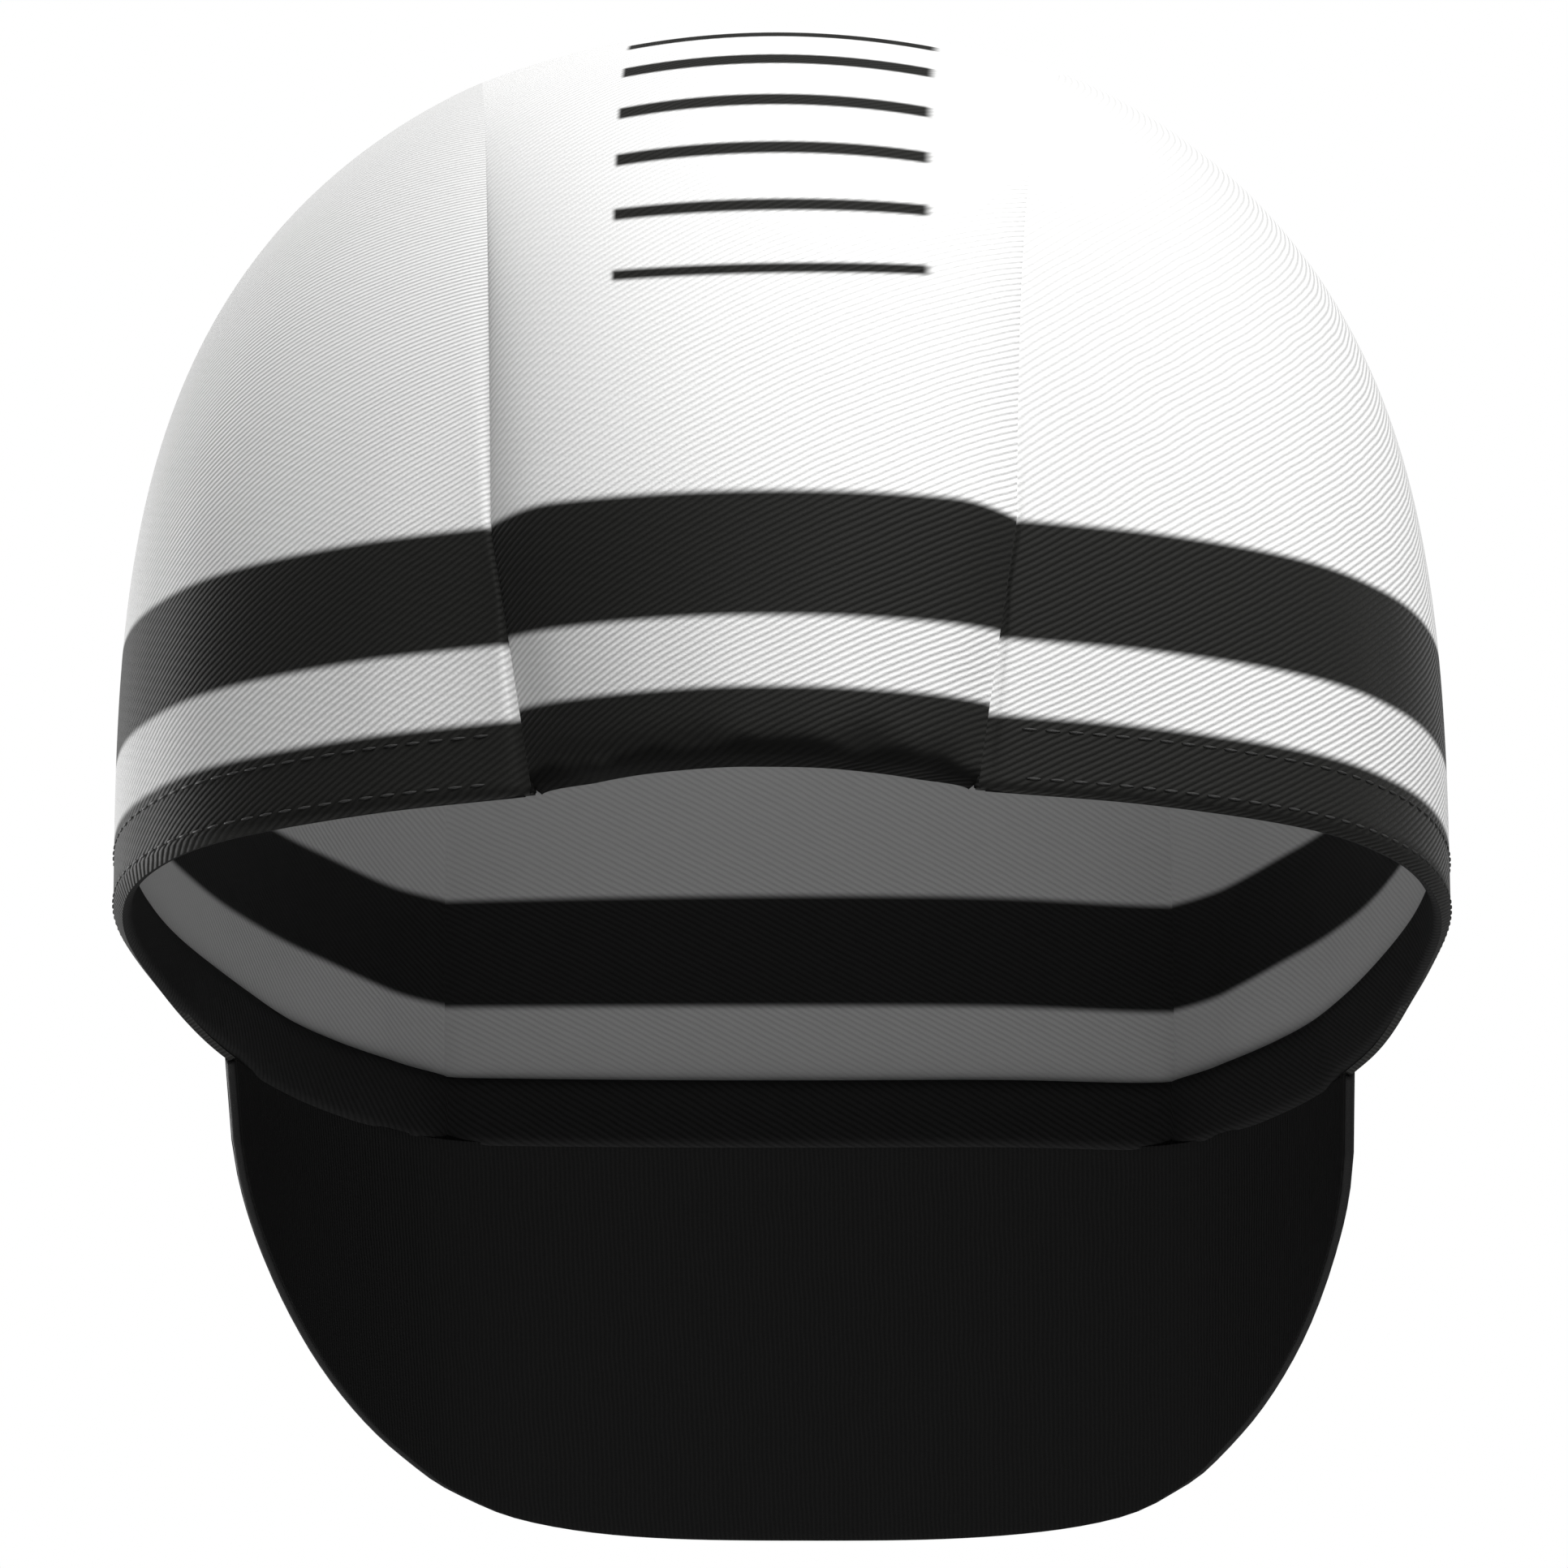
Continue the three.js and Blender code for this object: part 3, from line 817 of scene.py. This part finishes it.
def buildCasing():
    turns = evenly(-casing["turn"], casing["turn"], casing["columns"])
    base = [stripPoint(angleOfArc(stripLength), turn) for turn in turns]
    arcs = distancesAlong(base)
    middle = arcs[-1] / 2
    points, cloth = [], []
    for i, turn in enumerate(turns):
        along = (base[min(i + 1, len(turns) - 1)] - base[max(i - 1, 0)]).normalized()
        out = Vector((-along.y, along.x, 0))
        across = arcs[i] - middle
        wander = casing["ruffleWander"] * hemWave(across / casing["wanderLength"], casing["wanderSeed"])
        ruffle = casing["ruffle"] * math.sin(2 * math.pi * across / casing["ruffleLength"] + wander)
        row = []
        for share in evenly(0, 1, casing["rows"]):
            high, deep = casingProfile(share)
            high += casing["lift"]
            deep += ruffle * math.sin(math.pi * share)
            deep += napeRoll(across, high, middle - abs(across) + casing["pastCasing"])
            low = stripPoint(angleOfArc(stripLength - high), turn)
            low.z += napeLift(across, high, middle)
            row.append(swayed(low - out * deep))
        points.append(row)
        cloth.append([(across * mm, j * casing["rowHeight"] * mm) for j in range(casing["rows"] + 1)])
    bm = gridMesh(points, {"cloth": cloth}, centre=(0, 60, 4))
    bmesh.ops.reverse_faces(bm, faces=bm.faces)  # this face looks into the cap
    return finishPiece(bm, "elasticCasing", [hemCloth], ["nape_elastic"],
                       casing["thickness"])


buildCasing()
print("elastic casing built")

# the peak


def peakReach(x):
    # how long the peak is at a place across it
    power = peak["wornPower"] if x < 0 else peak["middlePower"]
    rounded = 1 - clamp(abs(x) / peak["halfWidth"]) ** power
    return mix(peak["cornerLength"], peak["length"], rounded ** (1 / peak["cornerPower"]))


def peakRoot(arc, ends):
    # where the peak meets the rim, with the corners at the brow eased
    spread = min(peak["smoothing"], arc - ends[0], ends[1] - arc)
    shares = evenly(-1, 1, peak["smoothingSteps"])
    near = [rimAt(arc + spread * share, peak["rootDepth"]) for share in shares]
    middle = sum(near, Vector((0, 0, 0))) / len(near)
    return Vector((middle.x, middle.y, peak["rootZ"]))


def peakGrid():
    # points from the rim down to the front edge, and their places on the cloth
    slope = math.radians(peak["slope"])
    down = Vector((0, -math.cos(slope), -math.sin(slope)))
    front = [arc for arc in evenly(0, outlineArc[-1], peak["rimSteps"])
             if outlineY(arc) < 0 and abs(outlineX(arc) - peak["shift"]) <= peak["halfWidth"]]
    ends = (front[0], front[-1])
    points, cloth = [], []
    for arc in evenly(*ends, peak["columns"]):
        root = peakRoot(arc, ends)
        x = rimAt(arc).x - peak["shift"]
        tilt = peak["tilt"] * smooth((peak["halfWidth"] - abs(x)) / peak["tiltFade"])
        steps = evenly(0, peakReach(x) - tilt * x, peak["rows"])
        points.append([swayed(root + down * step) for step in steps])
        cloth.append([(arc * mm, step * mm) for step in steps])
    return points, cloth


def buildPeak():
    points, cloth = peakGrid()
    bm = gridMesh(points, {"cloth": cloth}, centre=(0, 0, -120))
    piece = finishPiece(bm, "peak", [peakCover], ["peak"])
    board = piece.modifiers.new("boardThickness", "SOLIDIFY")
    board.thickness = peak["thickness"] * mm
    board.offset = 0
    edge = piece.modifiers.new("softEdge", "BEVEL")
    edge.width = peak["softEdge"] * mm
    edge.segments = 3
    edge.limit_method = "ANGLE"
    edge.angle_limit = math.radians(peak["sharpAngle"])
    return points


def tubeMesh(path, radius, sides):
    # a round tube along a path, closed at both ends
    bm = bmesh.new()
    rings = []
    for i, p in enumerate(path):
        along = (path[min(i + 1, len(path) - 1)] - path[max(i - 1, 0)]).normalized()
        turn = along.to_track_quat("Z", "Y").to_matrix().to_4x4()
        place = Matrix.Translation(p * mm) @ turn
        closed = i in (0, len(path) - 1)
        made = bmesh.ops.create_circle(bm, segments=sides, radius=radius * mm, matrix=place,
                                       cap_ends=closed)
        rings.append(made["verts"])
    for a, b in zip(rings, rings[1:]):
        loops = [e for ring in (a, b) for e in ringEdges(ring)]
        bmesh.ops.bridge_loops(bm, edges=loops)
    bmesh.ops.recalc_face_normals(bm, faces=bm.faces)
    return bm


def ringEdges(ring):
    members = set(ring)
    return {e for v in ring for e in v.link_edges if e.other_vert(v) in members}


def buildPeakEdge(points):
    # the rolled edge: down one side, along the front and up the other side
    front = [column[-1] for column in points[1:-1]]
    path = (points[0][1:] + front + points[-1][:0:-1])[::peak["edgeEvery"]]
    bm = tubeMesh(path, peak["edgeRadius"], peak["edgeSides"])
    finishPiece(bm, "peakEdgeSeam", [peakBinding])


buildPeakEdge(buildPeak())
print("peak built")

# two rows of stitches along the hem of the side panels
stitch = {
    "rows": (1.6, 7.3), "endGap": 2,
    "length": 2.1, "pitch": 2.8, "halfWidth": 0.14, "halfHeight": 0.168, "proud": 0.05,
}


def stitchPath(high):
    # a line along the +X panel at one height above the rim
    path = []
    for column, ups in zip(sideBase, sideUps):
        row = bisect.bisect_left(ups, high)
        share = (high - ups[row - 1]) / (ups[row] - ups[row - 1])
        path.append(column[row - 1].lerp(column[row], share))
    return path


def buildStitches():
    size = Matrix.Diagonal((stitch["length"] / 2, stitch["halfWidth"], stitch["halfHeight"], 1))
    bm = bmesh.new()
    for high in stitch["rows"]:
        path = stitchPath(high)
        arcs = distancesAlong(path)
        along = [Lookup(arcs, [p[axis] for p in path]) for axis in range(3)]
        for k in range(int((arcs[-1] - 2 * stitch["endGap"]) / stitch["pitch"])):
            arc = stitch["endGap"] + (k + 0.5) * stitch["pitch"]
            here, before, after = (Vector([axis(a) for axis in along]) for a in (arc, arc - 1, arc + 1))
            heading = (after - before).normalized()
            here += Vector((heading.y, -heading.x, 0)) * stitch["proud"]
            for sign in (1, -1):
                place = Matrix.Translation(swayed(Vector((here.x * sign, here.y, here.z))) * mm)
                turn = Vector((heading.x * sign, heading.y, 0)).to_track_quat("X", "Z").to_matrix().to_4x4()
                bmesh.ops.create_icosphere(bm, subdivisions=1, radius=mm, matrix=place @ turn @ size)
    return finishPiece(bm, "hemStitches", [blackThread])


buildStitches()
print("stitches built")

# the floor and the light
studio = {
    "floorZ": -0.8, "floorSize": 60, "floorColour": (0.82, 0.82, 0.82), "floorRoughness": 0.9,
    "backdrop": 1.0, "ambient": 0.2,  # how bright the white is for the camera, and for the cap
    "lightAim": (0, 0, 0.04),
    "key": {"place": (-0.58, 0.95, 1.33), "size": 0.9, "power": 49},
    "edge": {"place": (1.2, -1.0, 0.2), "size": 0.8, "power": 24},
}


def areaLight(name, place, size, power):
    light = bpy.data.objects.new(name, bpy.data.lights.new(name, "AREA"))
    light.data.shape = "DISK"
    light.data.size = size
    light.data.energy = power
    light.location = place
    light.rotation_mode = "QUATERNION"
    light.rotation_quaternion = (Vector(studio["lightAim"]) - Vector(place)).to_track_quat("-Z", "Y")
    bpy.context.scene.collection.objects.link(light)


def buildStudio():
    bm = bmesh.new()
    bmesh.ops.create_grid(bm, x_segments=1, y_segments=1, size=studio["floorSize"] / 2)
    bmesh.ops.translate(bm, verts=bm.verts, vec=(0, 0, studio["floorZ"]))
    mesh = bpy.data.meshes.new("studioFloor")
    bm.to_mesh(mesh)
    bm.free()
    floor = bpy.data.objects.new("studioFloor", mesh)
    bpy.context.scene.collection.objects.link(floor)
    pale = bpy.data.materials.new("paleFloor")
    pale.use_nodes = True
    shader = pale.node_tree.nodes["Principled BSDF"]
    shader.inputs["Base Color"].default_value = (*studio["floorColour"], 1)
    shader.inputs["Roughness"].default_value = studio["floorRoughness"]
    mesh.materials.append(pale)
    for name in ("key", "edge"):
        areaLight(name + "Light", **studio[name])
    world = bpy.data.worlds.new("whiteStudio")
    bpy.context.scene.world = world
    world.use_nodes = True
    tree = world.node_tree
    background = tree.nodes["Background"]
    background.inputs["Color"].default_value = (1, 1, 1, 1)
    path = tree.nodes.new("ShaderNodeLightPath")
    brightness = tree.nodes.new("ShaderNodeMapRange")
    brightness.inputs["To Min"].default_value = studio["ambient"]
    brightness.inputs["To Max"].default_value = studio["backdrop"]
    tree.links.new(path.outputs["Is Camera Ray"], brightness.inputs["Value"])
    tree.links.new(brightness.outputs["Result"], background.inputs["Strength"])


buildStudio()
bpy.context.scene.view_settings.view_transform = "Standard"
print("studio built")
